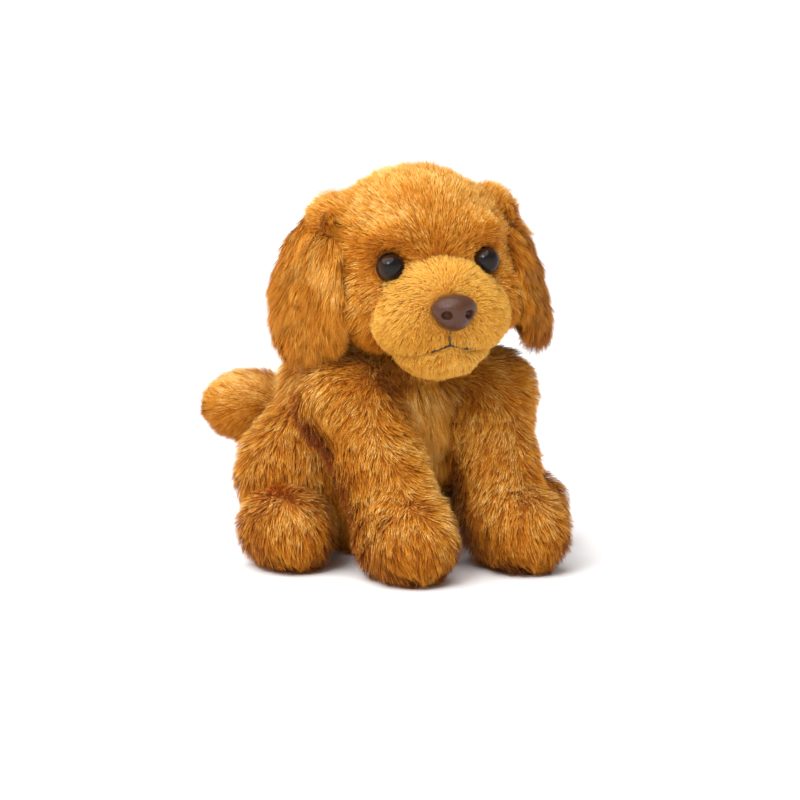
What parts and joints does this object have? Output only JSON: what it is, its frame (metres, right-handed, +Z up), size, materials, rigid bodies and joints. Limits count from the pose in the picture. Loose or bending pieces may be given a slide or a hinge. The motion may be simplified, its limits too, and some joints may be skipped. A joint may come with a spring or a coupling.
{
  "type": "plush dog",
  "caption": "Sitting plush puppy in caramel long-pile fur, with flap ears, a short tail, soft jointed legs and a head that turns and nods.",
  "frame": {"origin": "on the floor, on the flat seat panel below the middle of the body", "axes": "+Z up, -Y the way the chest faces, +X the dog's left"},
  "size_m": [0.196, 0.2117, 0.217],
  "materials": {
    "fur_caramel": "long soft pile",
    "fur_muzzle": "shorter dense pile",
    "fur_bib": "long straight pile",
    "fur_seat": "short pile",
    "stuffing": "loose polyester fibre",
    "pellets": "closed cotton bag of plastic pellets",
    "eye_plastic": "polished",
    "nose_plastic": "satin",
    "washer_plastic": "plain",
    "thread": "twisted thread"
  },
  "bodies": {
    "torso": {"torso_skin": "fur_caramel", "torso_stuffing": "stuffing", "pellet_bag": "pellets", "seat_panel": "fur_seat", "chest_bib": "fur_bib"},
    "neck": {"neck_stuffing": "stuffing"},
    "head": {"head_skin": "fur_caramel", "muzzle_skin": "fur_muzzle", "head_stuffing": "stuffing", "eye_left": "eye_plastic", "eye_right": "eye_plastic", "nose": "nose_plastic", "eye_left_washer": "washer_plastic", "eye_right_washer": "washer_plastic", "nose_washer": "washer_plastic", "mouth_stitching": "thread"},
    "ear_left": {"ear_left_outer": "fur_caramel", "ear_left_lining": "fur_caramel"},
    "ear_right": {"ear_right_outer": "fur_caramel", "ear_right_lining": "fur_caramel"},
    "tail": {"tail_skin": "fur_caramel", "tail_stuffing": "stuffing"},
    "front_leg_left": {"front_leg_left_skin": "fur_caramel", "front_leg_left_stuffing": "stuffing"},
    "front_leg_right": {"front_leg_right_skin": "fur_caramel", "front_leg_right_stuffing": "stuffing"},
    "hind_leg_left": {"hind_leg_left_skin": "fur_caramel", "hind_leg_left_stuffing": "stuffing"},
    "hind_leg_right": {"hind_leg_right_skin": "fur_caramel", "hind_leg_right_stuffing": "stuffing"}
  },
  "joints": [
    {"name": "head_turn", "type": "hinge", "parent": "torso", "child": "neck", "pos_m": [0, -0.018, 0.152], "axis": [0, 0, 1], "range_deg": [-15, 30], "stiffness_Nm_per_rad": 0.15},
    {"name": "head_nod", "type": "hinge", "parent": "neck", "child": "head", "pos_m": [0, -0.018, 0.152], "axis": [0.9768, -0.2079, 0.0512], "range_deg": [-12, 8], "stiffness_Nm_per_rad": 0.6},
    {"name": "tail_wag", "type": "hinge", "parent": "torso", "child": "tail", "pos_m": [-0.02, 0.072, 0.07], "axis": [0, 0, 1], "range_deg": [-60, 0], "stiffness_Nm_per_rad": 0.05},
    {"name": "ear_left_flap", "type": "hinge", "parent": "head", "child": "ear_left", "pos_m": [0.04658, -0.02515, 0.19348], "axis": [-0.2076, -0.9781, -0.0109], "range_deg": [0, 60]},
    {"name": "front_leg_left_swing", "type": "hinge", "parent": "torso", "child": "front_leg_left", "pos_m": [0.045, -0.02, 0.09], "axis": [-1, 0, 0], "range_deg": [0, 30], "stiffness_Nm_per_rad": 0.15},
    {"name": "hind_leg_left_lift", "type": "hinge", "parent": "torso", "child": "hind_leg_left", "pos_m": [0.046, 0.03, 0.046], "axis": [-1, 0, 0], "range_deg": [0, 15], "stiffness_Nm_per_rad": 0.15},
    {"name": "ear_right_flap", "type": "hinge", "parent": "head", "child": "ear_right", "pos_m": [-0.04817, -0.00498, 0.18851], "axis": [0.2076, 0.9781, 0.0109], "range_deg": [0, 60]},
    {"name": "front_leg_right_swing", "type": "hinge", "parent": "torso", "child": "front_leg_right", "pos_m": [-0.045, -0.02, 0.09], "axis": [-1, 0, 0], "range_deg": [0, 30], "stiffness_Nm_per_rad": 0.15},
    {"name": "hind_leg_right_lift", "type": "hinge", "parent": "torso", "child": "hind_leg_right", "pos_m": [-0.046, 0.03, 0.046], "axis": [-1, 0, 0], "range_deg": [0, 15], "stiffness_Nm_per_rad": 0.15}
  ]
}
